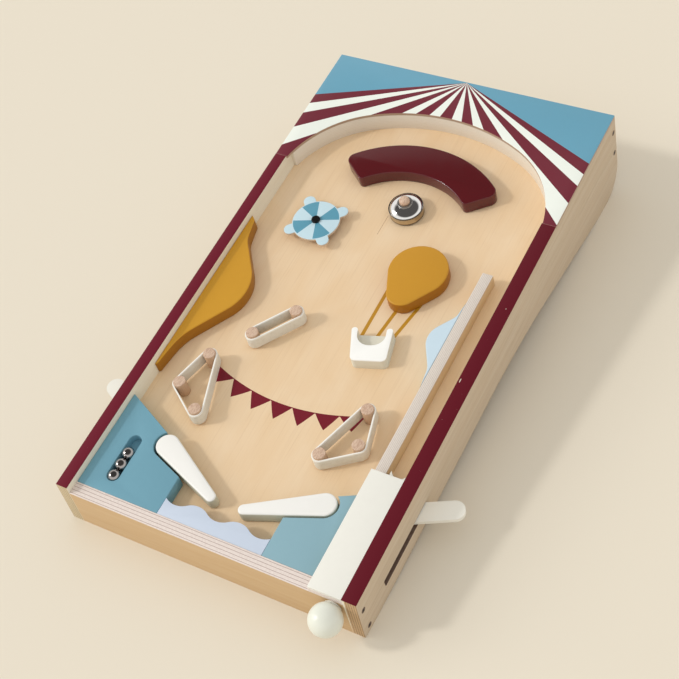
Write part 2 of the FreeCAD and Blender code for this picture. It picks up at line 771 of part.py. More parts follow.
def build_lane():
    profile = rounded([
        (wall_rear, 0, 0), (divider_rear, 0, 0), (divider_rear, s.block_height, 0),
        (s.cover_rear, s.block_height, 0), (s.cover_rear, cover_bottom, 0),
        (wall_rear, cover_bottom, 0),
    ])
    plate("lane_divider", profile, "Sizes.divider_width", (divider_left,), "YZ_Plane")
    cover = rectangle(divider_left, 0, inner_x - s.joint_gap, s.cover_rear)
    plate("launch_cover", cover, "Sizes.cover_thickness", (0, 0, cover_bottom))
    box("cover_ledge", "Sizes.ledge_width", "Sizes.cover_rear - Sizes.wall_thickness",
        "Sizes.ledge_height", (inner_x - s.ledge_width, wall_rear, cover_bottom - s.ledge_height))


def build_plunger():
    """Knob, rod and striker that slide together, their bush and their spring."""
    axis = (lane_x, 0, s.rod_height)
    flange_back = front_face(s.rod_height - bush_radius - s.bush_flange)
    flange_front = flange_back - s.bush_flange_thickness
    knob_y = flange_front - s.seat_gap - s.knob_flat
    tail = s.knob_radius / 4
    knob = Part.makeSphere(s.knob_radius)
    trim = Part.makeBox(40, 40, 40, Vector(-20, -20, s.knob_flat))
    bore = Part.makeCylinder(s.rod_radius, 40, Vector(0, 0, -tail))
    knob = knob.cut(trim).cut(bore)
    lying_shape("plunger_knob", knob, (axis[0], knob_y, axis[2]))
    rod_start = knob_y - tail
    rod_end = s.striker_front + s.knob_radius / 2
    rod = Part.makeCylinder(s.rod_radius, rod_end - rod_start)
    lying_shape("plunger_rod", rod, (axis[0], rod_start, axis[2]))
    sleeve = Part.makeCylinder(bush_radius, wall_rear - flange_back)
    sleeve = sleeve.fuse(Part.makeCylinder(bush_radius + s.bush_flange, s.bush_flange_thickness,
                                           Vector(0, 0, -s.bush_flange_thickness)))
    sleeve = sleeve.removeSplitter()
    bore = Part.makeCylinder(s.rod_radius + s.rod_play, 60, Vector(0, 0, -20))
    lying_shape("plunger_bush", sleeve.cut(bore), (axis[0], flange_back, axis[2]))
    build_striker()
    start = wall_rear + s.seat_gap + s.coil_wire / 2
    end = s.striker_front - s.seat_gap - s.coil_wire / 2
    radius = s.rod_radius + s.coil_play + s.coil_wire / 2
    pitch = (end - start) / s.coil_turns
    coil = coil_spring("plunger_spring", radius, pitch, int(s.coil_turns), s.coil_wire)
    lying_shape("plunger_spring", coil, (axis[0], start, axis[2]))


def build_striker():
    """Plunger head: a block with a hollow that centres the ball."""
    half = s.striker_width / 2
    reach = math.sqrt(s.striker_notch ** 2 - half ** 2)
    hollow = (0, s.striker_rear + reach)
    angle = math.degrees(math.asin(reach / s.striker_notch))
    edges = [
        line((-half, s.striker_rear), (-half, s.striker_front)),
        line((-half, s.striker_front), (half, s.striker_front)),
        line((half, s.striker_front), (half, s.striker_rear)),
        arc(hollow, s.striker_notch, -angle, angle - 180),
    ]
    low = 1
    striker = plate("plunger_striker", edges, "Sizes.striker_top - 1", (lane_x, 0, low))
    bore = [circle((0, s.rod_height - low), s.rod_radius)]
    blind = new_sketch(striker, "rod_bore", "XZ_Plane", bore, -s.striker_front)
    add_pocket(striker, blind, "Sizes.knob_radius / 2")


def half_biarc(start, pull, end):
    """Arc from start to end, tangent at the start to the leg that goes to pull."""
    middle = (start + end) / 2
    half = (end - start).Length / 2
    leg = (pull - start).Length
    turn = math.acos(min(1, half / leg))
    bulge = half * math.tan(turn / 2)
    return Part.Arc(start, middle + (pull - middle).normalize() * bulge, end)


def coil_path(radius, pitch, turns):
    """Helix about +z as biarcs of a quarter turn each."""
    quarters = 4 * turns
    edges = []
    rise = pitch / (2 * math.pi)

    def point(step):
        angle = step * math.pi / 2
        return Vector(radius * math.cos(angle), radius * math.sin(angle), pitch * step / 4)

    def heading(step):
        angle = step * math.pi / 2
        return Vector(-radius * math.sin(angle), radius * math.cos(angle), rise).normalize()

    for step in range(quarters):
        start, end = point(step), point(step + 1)
        first, last = heading(step), heading(step + 1)
        chord = end - start
        both = first + last
        curl = 2 * (1 - first.dot(last))
        root = math.sqrt(chord.dot(both) ** 2 + curl * chord.dot(chord))
        reach = (root - chord.dot(both)) / curl
        left, right = start + first * reach, end - last * reach
        joint = (left + right) / 2
        edges.append(half_biarc(start, left, joint))
        edges.append(half_biarc(joint, right, end))
    return edges, point(0), heading(0), point(quarters), heading(quarters)


def coil_spring(label, radius, pitch, turns, wire):
    """Round wire wound into one unbroken coil with short straight ends."""
    curves, first, out_first, last, out_last = coil_path(radius, pitch, turns)
    edges = [Part.LineSegment(first - out_first * wire, first)] + curves
    edges.append(Part.LineSegment(last, last + out_last * wire))
    path = Part.Wire([edge.toShape() for edge in edges])
    ring = Part.Circle(first - out_first * wire, out_first, wire / 2)
    coil = path.makePipeShell([Part.Wire(ring.toShape())], True, False)
    swept = math.pi * wire ** 2 / 4 * path.Length
    print("%s: least gap %.2f mm, volume against its length %.4f"
          % (label, pitch * math.cos(math.atan(pitch / (2 * math.pi * radius))) - wire,
             coil.Volume / swept))
    return coil


# Flippers


def build_flipper(side, name):
    """Flipper, its shaft and lever; returns the screw that anchors its spring."""
    pivot = (side * pivot_x, s.pivot_y)
    turn = -s.rest_angle if side < 0 else 180 + s.rest_angle
    arm = hull([(0, 0, s.flipper_big), (flipper_reach, 0, s.flipper_tip)])
    flipper = plate(name + "_flipper", arm, "Sizes.flipper_height - Sizes.flipper_lift",
                    (pivot[0], pivot[1], s.flipper_lift, turn))
    depth = "(Sizes.flipper_height - Sizes.flipper_lift) / 2"
    bore = new_sketch(flipper, name + "_bore", "XY_Plane", [circle((0, 0), s.shaft_radius)])
    add_pocket(flipper, bore, depth, reverse=True)
    shaft_top = s.flipper_lift + (s.flipper_height - s.flipper_lift) / 2
    shaft = document.addObject("Part::Cylinder", name + "_shaft")
    shaft.Label = name + "_shaft"
    shaft.setExpression("Radius", "Sizes.shaft_radius")
    shaft.Height = shaft_top - lever_bottom
    register(shaft, pivot[0], pivot[1], lever_bottom)
    build_sleeve(name, pivot)
    return build_lever(side, name, pivot, turn + 180)


def build_sleeve(name, pivot):
    """Flanged bush that guides the shaft through the playing board."""
    inner = s.shaft_radius + s.shaft_play
    wide = sleeve_radius + s.sleeve_flange
    low = -s.field_thickness - s.sleeve_flange_thickness
    corners = [(inner, low), (wide, low), (wide, -s.field_thickness),
               (sleeve_radius, -s.field_thickness), (sleeve_radius, 0), (inner, 0)]
    turned(name + "_shaft_bush", rounded([corner + (0,) for corner in corners]), pivot)


def build_lever(side, name, pivot, turn):
    """Side lever with a boss round the shaft and a round end outside the case."""
    half = s.lever_width / 2
    bar = hull([(0, 0, half), (s.lever_length - half, 0, half)])
    lever = plate(name + "_lever", bar, "Sizes.lever_thickness",
                  (pivot[0], pivot[1], lever_bottom, turn))
    boss = new_sketch(lever, name + "_boss", "XY_Plane", [circle((0, 0), s.hub_radius)])
    add_pad(lever, boss, "Sizes.lever_top + Sizes.lever_thickness - Sizes.field_thickness"
            " - Sizes.sleeve_flange_thickness - Sizes.seat_gap")
    across = -side * s.hook_offset
    holes = [circle((0, 0), s.shaft_radius), circle((s.hook_reach, -across), s.screw_radius)]
    bores = new_sketch(lever, name + "_lever_bores", "XY_Plane", holes)
    add_pocket(lever, bores, "2 * Sizes.lever_top", reverse=True)
    washer = [circle((0, 0), s.washer_radius), circle((0, 0), s.screw_radius)]
    plate(name + "_lever_washer", washer, "Sizes.washer_thickness",
          (pivot[0], pivot[1], lever_bottom - s.washer_thickness))
    seat = lever_bottom - s.washer_thickness
    register(screw_body(name + "_lever_screw", seat, lever_bottom), *pivot)
    return build_return_spring(side, name, pivot, turn)


def screw_body(label, seat, top):
    """Screw whose head hangs below its seat; its shank reaches up to top."""
    low = seat - s.screw_head_height
    rim = s.screw_head_height / 3
    profile = [(0, low, 0), (s.screw_head, low, rim), (s.screw_head, seat, 0),
               (s.screw_radius, seat, 0), (s.screw_radius, top, 0), (0, top, 0)]
    return turned_body(label, rounded(profile))


def build_return_spring(side, name, pivot, turn):
    """Coil between a screw in the lever and a screw in the playing board, which it returns."""
    across = side * s.hook_offset
    angle = math.radians(turn)
    hook = (pivot[0] + s.hook_reach * math.cos(angle) - across * math.sin(angle),
            pivot[1] + s.hook_reach * math.sin(angle) + across * math.cos(angle))
    outer = s.return_radius + s.return_wire / 2
    middle = lever_bottom - s.spring_drop - outer
    seat = middle - outer - s.spring_drop
    length = s.return_turns * s.return_pitch
    start = hook[1] + s.screw_radius + s.seat_gap + s.return_wire / 2
    anchor = start + length + s.return_wire / 2 + s.seat_gap + s.screw_radius
    register(screw_body(name + "_hook_screw", seat, lever_bottom + s.lever_thickness), *hook)
    screw = screw_body(name + "_anchor_screw", seat, -s.field_thickness)
    screw.Placement.Base = flat((hook[0], anchor))
    coil = coil_spring(name + "_return_spring", s.return_radius, s.return_pitch,
                       int(s.return_turns), s.return_wire)
    lying_shape(name + "_return_spring", coil, (hook[0], start, middle))
    return screw


# Targets and balls


def build_bumpers():
    """Wooden pegs with a rubber band stretched round each group."""
    starts = {
        "upper": (-inner_x, field_middle),
        "left": (-inner_x, s.pivot_y),
        "right": (divider_left, s.pivot_y),
    }
    for name, places in BUMPERS.items():
        centres = [(starts[name][0] + x, starts[name][1] + y) for x, y in places]
        feet = [((x, y, 0), Vector(0, 0, 1)) for x, y in centres]
        group_of_pins(name + "_bumper_pegs", feet, "Sizes.peg_radius", "Sizes.peg_height")
        outer = hull([(x, y, s.peg_radius + s.band_thickness) for x, y in centres])
        inner = hull([(x, y, s.peg_radius) for x, y in centres])
        plate(name + "_bumper_band", outer + inner, "Sizes.band_height", (0, 0, s.band_bottom))


def build_spinner():
    """Disc with round tabs that turns on a screw."""
    spot = (-inner_x + s.spinner_inset, field_middle + s.spinner_shift)
    disc = plate("spinner_disc", [circle((0, 0), s.spinner_radius)], "Sizes.spinner_thickness",
                 spot + (s.spinner_lift,))
    for index in range(int(s.tab_count)):
        angle = s.tab_angle + index * 360 / s.tab_count
        ends = [polar((0, 0), s.tab_reach / 2, angle), polar((0, 0), s.tab_reach, angle)]
        tab = hull([end + (s.tab_radius,) for end in ends])
        add_pad(disc, new_sketch(disc, "tab", "XY_Plane", tab), "Sizes.spinner_thickness")
    bore = [circle((0, 0), s.axle_radius + s.axle_play)]
    add_pocket(disc, new_sketch(disc, "axle_bore", "XY_Plane", bore), "Sizes.spinner_thickness",
               reverse=True)
    ring = [circle((0, 0), s.axle_head), circle((0, 0), s.axle_radius)]
    plate("spinner_spacer", ring, "Sizes.spinner_lift - Sizes.seat_gap", spot)
    top = s.spinner_lift + s.spinner_thickness + s.seat_gap
    crown = top + s.screw_head_height
    head = rounded([
        (0, 0, 0), (s.axle_radius, 0, 0), (s.axle_radius, top, 0), (s.axle_head, top, 0),
        (s.axle_head, crown, s.screw_head_height / 2), (0, crown, 0),
    ])
    turned("spinner_screw", head, spot)


def build_bell():
    """Chromed cup held mouth down on a post, with a collar and a wooden button on top."""
    spot = (0, arc_centre + arc_inner - s.bell_clearance - s.bell_radius)
    inner = s.bell_radius - s.bell_wall
    ceiling = s.bell_top - s.bell_wall
    cup = rounded([
        (s.neck_radius, ceiling, 0), (inner, ceiling, s.bell_shoulder - s.bell_wall),
        (inner, s.bell_lift, 0), (s.bell_radius, s.bell_lift, 0),
        (s.bell_radius, s.bell_top, s.bell_shoulder), (s.neck_radius, s.bell_top, 0),
    ])
    turned("bell_cup", cup, spot)
    post_top = s.bell_top + s.collar_thickness + s.button_height / 2
    post = rounded([
        (0, 0, 0), (s.post_radius, 0, 0), (s.post_radius, ceiling, 0),
        (s.neck_radius, ceiling, 0), (s.neck_radius, post_top, 0), (0, post_top, 0),
    ])
    turned("bell_post", post, spot)
    ring = [circle((0, 0), s.collar_radius), circle((0, 0), s.neck_radius)]
    plate("bell_collar", ring, "Sizes.collar_thickness", spot + (s.bell_top,))
    low = s.bell_top + s.collar_thickness
    high = low + s.button_height
    button = rounded([
        (0, post_top, 0), (s.neck_radius, post_top, 0), (s.neck_radius, low, 0),
        (s.button_radius, low, 0), (s.button_radius, high, s.button_radius * 0.7), (0, high, 0),
    ])
    turned("bell_button", button, spot)


def build_balls():
    """Steel balls in the tray, resting against its front end."""
    floor = s.block_height - s.tray_depth
    first = s.tray_front + s.ball_radius + s.ball_gap
    balls = []
    for index in range(int(s.ball_count)):
        ball = document.addObject("Part::Sphere", "steel_ball_%d" % (index + 1))
        ball.setExpression("Radius", "Sizes.ball_radius")
        y = first + index * (2 * s.ball_radius + s.ball_gap)
        ball.Placement.Base = Vector(-tray_x, y, floor + s.ball_radius + s.ball_gap)
        balls.append(ball)
    group("steel_balls", balls)


build_panels()
build_walls()
build_playing_board()
build_arch()
build_flipper_blocks()
build_drain_plate()
build_hills()
build_arc_block()
build_balloon()
build_lane()
build_plunger()
group("anchor_screws", [build_flipper(-1, "left"), build_flipper(1, "right")])
build_bumpers()
build_spinner()
build_bell()
build_balls()

# The tilted board stands on the table with the middle of its box at x = 0, y = 0.
document.recompute()
rise = s.front_depth * math.cos(tilt) - front_face(-s.front_depth) * math.sin(tilt)
board = Placement(Vector(0, 0, rise), Rotation(Vector(1, 0, 0), s.tilt_angle))
reach = FreeCAD.BoundBox()
for thing, spot in parts:
    thing.Placement = board * spot
document.recompute()
for thing, spot in parts:
    if "spring" not in thing.Label:
        reach.add(thing.Shape.optimalBoundingBox(False, False))
board.Base.y = -(reach.YMin + reach.YMax) / 2
for thing, spot in parts:
    thing.Placement = board * spot
document.recompute()

# Every object has to be sound before anything is written.
for thing in document.Objects:
    if "Invalid" in thing.State or "Error" in thing.State:
        raise ValueError("%s failed" % thing.Label)
for thing, spot in parts:
    if thing.Shape.isNull() or not thing.Shape.isValid() or not thing.Shape.Solids:
        raise ValueError("%s has no sound shape" % thing.Label)

os.makedirs("parts", exist_ok=True)
for thing, spot in parts:
    thing.Shape.exportStep("parts/%s.step" % thing.Label)
print("%d sub-parts, box %.1f x %.1f x %.1f mm"
      % (len(parts), reach.XLength, reach.YLength, reach.ZLength))
print("board placement: y %.4f, z %.4f" % (board.Base.y, board.Base.z))
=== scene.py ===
import json
import math

import bpy
from mathutils import Euler, Matrix, Vector


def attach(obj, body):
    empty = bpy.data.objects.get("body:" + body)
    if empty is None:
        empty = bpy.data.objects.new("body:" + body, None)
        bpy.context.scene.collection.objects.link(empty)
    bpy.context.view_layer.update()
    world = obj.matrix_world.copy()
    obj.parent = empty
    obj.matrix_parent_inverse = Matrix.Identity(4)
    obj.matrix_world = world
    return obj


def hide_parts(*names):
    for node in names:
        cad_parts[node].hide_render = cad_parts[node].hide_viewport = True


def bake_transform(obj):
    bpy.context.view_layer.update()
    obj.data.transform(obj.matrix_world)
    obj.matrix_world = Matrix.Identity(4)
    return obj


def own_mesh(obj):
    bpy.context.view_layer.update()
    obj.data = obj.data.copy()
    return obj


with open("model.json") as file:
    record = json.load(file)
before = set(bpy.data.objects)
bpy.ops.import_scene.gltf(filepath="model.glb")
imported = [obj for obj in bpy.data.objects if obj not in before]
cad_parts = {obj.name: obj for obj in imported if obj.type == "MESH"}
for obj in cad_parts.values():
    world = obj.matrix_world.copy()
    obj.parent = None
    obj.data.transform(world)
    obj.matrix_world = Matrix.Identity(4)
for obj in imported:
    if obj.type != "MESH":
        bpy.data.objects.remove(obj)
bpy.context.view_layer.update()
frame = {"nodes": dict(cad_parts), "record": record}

# Bagatelle: a shallow case whose playing board leans towards the player. Patterns and new
# pieces are laid out in board coordinates, in millimetres: x from the centre line, y from the
# front edge, z up from the top of the playing board. Meshes are in metres on the table.

MM = 0.001
TILT = math.radians(4.56)
LEAN = (math.cos(TILT), math.sin(TILT))

# Where the front edge of the board's top stands on the table
BOARD_Y = -259.2194
BOARD_Z = 31.2379

# Side panels: where they start beside the centre line, and how thick they are
PANEL_INSIDE = 138.5
PANEL_THICKNESS = 11.5
PANEL_MIDDLE = 144

# Grain directions
CROSSWISE = 0
LENGTHWISE = 1


def on_table(x, y, z):
    """Point of the board, in metres on the table."""
    cosine, sine = LEAN
    return Vector((x, BOARD_Y + y * cosine - z * sine, BOARD_Z + y * sine + z * cosine)) * MM


BOARD = Matrix.Translation(on_table(0, 0, 0)) @ Matrix.Rotation(TILT, 4, "X")


# Finishes


def tone(red, green, blue):
    """Colour named by its everyday 0 to 255 values."""
    shares = [channel / 255 for channel in (red, green, blue)]
    linear = [share / 12.92 if share < 0.04045 else ((share + 0.055) / 1.055) ** 2.4
              for share in shares]
    return tuple(linear) + (1.0,)


class Value:
    """A changing number of a finish, which can be added, multiplied and compared."""

    def __init__(self, finish, socket):
        self.finish = finish
        self.socket = socket

    def worked(self, operation, *others):
        """Result of one operation, such as SINE, on this value and any others."""
        values = [self] + list(others)
        node = self.finish.add("Math", {"operation": operation}, dict(enumerate(values)))
        return Value(self.finish, node.outputs[0])

    def __add__(self, other):
        return self.worked("ADD", other)

    __radd__ = __add__

    def __sub__(self, other):
        return self.worked("SUBTRACT", other)

    def __rsub__(self, other):
        return (self * -1) + other

    def __mul__(self, other):
        return self.worked("MULTIPLY", other)

    __rmul__ = __mul__

    def __truediv__(self, other):
        return self.worked("DIVIDE", other)

    def __gt__(self, other):
        return self.worked("GREATER_THAN", other)

    def __lt__(self, other):
        return self.worked("LESS_THAN", other)

    def __abs__(self):
        return self.worked("ABSOLUTE")

    def kept(self):
        """The value held between 0 and 1."""
        node = self.finish.add("Clamp", {}, {"Value": self})
        return Value(self.finish, node.outputs[0])

    def soft_step(self, low, high):
        """0 up to low, 1 from high on, and smooth between them; low may be the larger."""
        node = self.finish.add("MapRange", {"interpolation_type": "SMOOTHSTEP"},
                               {"Value": self, "From Min": low, "From Max": high})
        return Value(self.finish, node.outputs[0])


class Finish:
    """A surface finish, built from the object's own coordinates."""

    def __init__(self, name, roughness, **constants):
        self.material = bpy.data.materials.new(name)
        self.material.use_nodes = True
        self.tree = self.material.node_tree
        self.shader = self.tree.nodes["Principled BSDF"]
        self.shader.inputs["Roughness"].default_value = roughness
        for socket, value in constants.items():
            self.shader.inputs[socket.replace("_", " ")].default_value = value
        self.place = self.add("TexCoord").outputs["Object"]

    def add(self, kind, settings=None, inputs=None):
        """New node of a kind, with its settings and the values or links of its sockets."""
        node = self.tree.nodes.new("ShaderNode" + kind)
        for name, value in (settings or {}).items():
            setattr(node, name, value)
        for name, value in (inputs or {}).items():
            self.feed(node.inputs[name], value)
        return node

    def feed(self, socket, value):
        """Links a value to a socket, or sets the socket where the value is fixed."""
        if isinstance(value, Value):
            value = value.socket
        if isinstance(value, bpy.types.NodeSocket):
            self.tree.links.new(value, socket)
        else:
            socket.default_value = value

    def board(self):
        """Board coordinates in millimetres, as a vector."""
        cosine, sine = LEAN
        shift = (0, -(BOARD_Y * cosine + BOARD_Z * sine), BOARD_Y * sine - BOARD_Z * cosine)
        node = self.add("Mapping", {}, {"Vector": self.place, "Location": shift,
                                        "Rotation": (-TILT, 0, 0), "Scale": (1 / MM,) * 3})
        return node.outputs[0]

    def axes(self):
        """Board x, y and z in millimetres, as values."""
        node = self.add("SeparateXYZ", {}, {0: self.board()})
        return [Value(self, output) for output in node.outputs]

    def height(self):
        """Height over the board's top in millimetres."""
        return self.axes()[2]

    def noise(self, stretch, detail=3, roughness=0.5, distortion=0.0, shift=(0, 0, 0)):
        """Noise whose cells measure stretch millimetres along the board's axes."""
        scale = [1 / length for length in stretch]
        mapped = self.add("Mapping", {}, {"Vector": self.board(), "Scale": scale,
                                          "Location": shift})
        node = self.add("TexNoise", {}, {"Vector": mapped.outputs[0], "Scale": 1.0,
                                         "Detail": detail, "Roughness": roughness,
                                         "Distortion": distortion})
        return Value(self, node.outputs["Fac"])

    def cloud(self, size, detail=3, roughness=0.5, **more):
        """Noise whose cells measure the same in every direction."""
        return self.noise((size,) * 3, detail, roughness, **more)

    def mix(self, share, first, second):
        """Colour between first and second."""
        node = self.add("Mix", {"data_type": "RGBA"})
        self.feed(node.inputs[0], share)
        self.feed(node.inputs[6], first)
        self.feed(node.inputs[7], second)
        return node.outputs[2]

    def stripes(self, share, starts):
        """Plain stripes, given as (start, colour), each up to the start of the next."""
        node = self.add("ValToRGB", {}, {"Fac": share})
        band = node.color_ramp
        band.interpolation = "CONSTANT"
        while len(band.elements) < len(starts):
            band.elements.new(1.0)
        for element, (start, colour) in zip(band.elements, starts):
            element.position = start
            element.color = colour
        return node.outputs["Color"]

    def colour(self, value):
        self.feed(self.shader.inputs["Base Color"], value)

    def roughness(self, value):
        self.feed(self.shader.inputs["Roughness"], value)

    def relief(self, height, depth):
        """Fine relief of the surface; depth in millimetres."""
        node = self.add("Bump", {}, {"Height": height, "Strength": 1.0, "Distance": depth * MM})
        self.feed(self.shader.inputs["Normal"], node.outputs[0])

    def sanded(self, pores):
        """Even sheen of sanded veneer, with open pores."""
        self.roughness(0.48 + pores * 0.1)
        self.relief(pores, 0.02)


BIRCH = tone(232, 205, 166)
BIRCH_WARM = tone(218, 184, 138)
BIRCH_DARK = tone(188, 148, 102)
EDGE_PALE = tone(226, 210, 194)
EDGE_LINE = tone(158, 122, 104)
BURGUNDY = tone(112, 22, 42)
STRIPE = tone(118, 36, 52)
SKY = tone(104, 165, 190)
CREAM = tone(242, 247, 238)
WHITE = tone(238, 237, 228)


def grain(finish, direction, cross=1.0):
    """Veneer grain along a board axis: broad waves, streaks and short pores."""
    wide, narrow, fine = [5.0 * cross] * 3, [1.1 * cross] * 3, [0.35 * cross] * 3
    wide[direction] = 150
    narrow[direction] = 90
    fine[direction] = 14
    waves = finish.noise(wide, 4, 0.55, 0.6)
    streaks = finish.noise(narrow, 3, 0.6)
    pores = finish.noise(fine, 2, 0.5)
    return waves, streaks, pores


def veneer(finish, direction, dark, pale, warm):
    """Colour of a sanded veneer face, and its pores."""
    waves, streaks, pores = grain(finish, direction)
    streak_strength, pore_strength = 0.32, 0.22
    body = finish.mix((waves * 1.5 - 0.25).kept(), pale, warm)
    line = ((streaks - 0.47) * 3.2).kept() * streak_strength
    body = finish.mix(line, body, dark)
    pit = pores.soft_step(0.6, 0.74) * pore_strength
    return finish.mix(pit, body, dark), pores


def layers(finish, across, thickness, count, pale, line, shift=0.0, pale_half=0.41):
    """Edge of plywood: glue lines between pale layers, counted across a board axis.

    A layer stays pale up to pale_half of its thickness to each side of its middle.
    """
    line_half, line_strength, tint_strength = 0.48, 0.85, 0.35
    wander = finish.cloud(40, 2) * 0.5 - 0.25
    place = ((across + shift + wander) / (thickness / count)).worked("FRACT")
    glue = abs(place - 0.5).soft_step(pale_half, line_half)
    tint = finish.cloud(2, 2, 0.6)
    body = finish.mix(tint.kept() * tint_strength, pale, line)
    return finish.mix(glue * line_strength, body, line)


def painted(name, colour, deep, roughness, shine=0.35, side=None, top=14):
    """Sprayed paint on wood, with faint mottling and orange peel.

    Where a side tone is given, it covers what lies lower than the top of the piece: painted shade
    on the sides.
    """
    finish = Finish(name, roughness, Specular_IOR_Level=shine)
    mottle = finish.cloud(9, 3, 0.6)
    peel = finish.cloud(0.7, 2)
    body = finish.mix((mottle * 1.2 - 0.1).kept() * 0.55, colour, deep)
    # A side tone is painted shade: it darkens the sides below the top of the piece
    if side:
        body = finish.mix(finish.height().soft_step(top - 1.6, top - 0.6), side, body)
    finish.colour(body)
    finish.roughness(roughness - 0.05 + mottle * 0.12)
    finish.relief(peel + mottle * 2, 0.02)
    return finish


def playfield_finish():
    """Pale veneer with a fine crack, the printed bunting and the balloon's three ropes."""
    finish = Finish("field_board", 0.42, Specular_IOR_Level=0.35)
    x, y, z = finish.axes()

    clouds = finish.noise((34, 70, 34), 3, 0.5, 0.4)
    waves, streaks, pores = grain(finish, LENGTHWISE, 1.4)
    wood = finish.mix((clouds * 1.6 - 0.3).kept(), tone(237, 213, 180), tone(230, 198, 156))
    wood = finish.mix(((waves - 0.4) * 1.3).kept() * 0.3, wood, tone(221, 186, 144))
    wood = finish.mix(streaks.soft_step(0.5, 0.75) * 0.16, wood, BIRCH_DARK)

    crack_x, crack_start, crack_end = -16.2, 357, 381
    crack = (abs(x - crack_x) < 0.28) * (y > crack_start) * (y < crack_end)
    wood = finish.mix(crack * 0.6, wood, tone(150, 104, 66))

    thickness, layer_count = 6, 5
    face = z.soft_step(-0.2, -0.05)
    ply = layers(finish, z, thickness, layer_count, EDGE_PALE, EDGE_LINE)
    wood = finish.mix(face, ply, wood)
    wood = finish.mix(z < 0.05 - thickness, wood, BIRCH_WARM)

    # The string hangs in a curve from its lowest point, and the flags stand square to it
    lowest_x, lowest_y, curve_rate, string_half = -9, 154.2, 0.0026, 0.5
    first_x, last_x, flag_width, flag_length = -88.6, 67.5, 22.3, 16.3
    aside = x - lowest_x
    drop = aside * aside * curve_rate + lowest_y - y
    foot = x - aside * (2 * curve_rate) * drop
    flag = ((foot - first_x) / flag_width).worked("FRACT")
    inside = (abs(flag - 0.5) * 2 + drop / flag_length) < 1
    reach = (foot > first_x) * (foot < last_x)
    flags = inside * (drop > -string_half) * reach
    string = (abs(drop) < string_half) * reach
    bunting = (flags + string).kept() * face
    fade = finish.cloud(1.2, 3, 0.7)
    colour = finish.mix(bunting * (0.98 + fade * 0.03).kept(), wood, tone(120, 4, 34))

    # Ropes, each from the balloon to the basket
    rope_half, basket_y, balloon_y = 1.75, 238, 302
    ropes = 0
    for top_x, top_y, low_x, low_y in ((23.9, 290.8, 24.0, 246.5), (41.6, 278.3, 38.4, 251.2),
                                       (58.1, 281.6, 53.9, 259.3)):
        lean = (top_x - low_x) / (top_y - low_y)
        middle = (y - low_y) * lean + low_x
        ropes += (abs(x - middle) < rope_half) * (y > basket_y) * (y < balloon_y)
    finish.colour(finish.mix(ropes.kept() * face, colour, tone(188, 136, 30)))
    finish.roughness(0.42 + pores * 0.1)
    finish.relief(pores, 0.01)
    return finish


def cap_finish():
    """Printed plate: striped awning that fans out from the rear edge, under a plain sky."""
    finish = Finish("sky_print", 0.38)
    x, y, z = finish.axes()
    peak_x, peak_y = -5.5, 546
    slope = (peak_y - y).worked("ARCTAN2", abs(x - peak_x)) / (math.pi / 2)
    stripe_starts = (22, 26.3, 30.3, 36, 42, 51, 59.3, 71, 82.5)
    starts = [(0.0, SKY)]
    for index, start in enumerate(stripe_starts):
        starts.append((start / 90, CREAM if index % 2 else STRIPE))
    fan = finish.stripes(slope, starts)
    mottle = finish.cloud(14, 3, 0.6)
    fan = finish.mix(mottle * 0.06, fan, tone(90, 80, 84))
    edge = finish.mix(finish.noise((3, 3, 0.5), 2) * 0.5, tone(186, 160, 138), EDGE_LINE)
    on_top = z.soft_step(21.62, 21.75)
    finish.colour(finish.mix(on_top, edge, fan))
    finish.roughness(0.34 + mottle * 0.12)
    finish.relief(finish.cloud(0.8, 2), 0.015)
    return finish


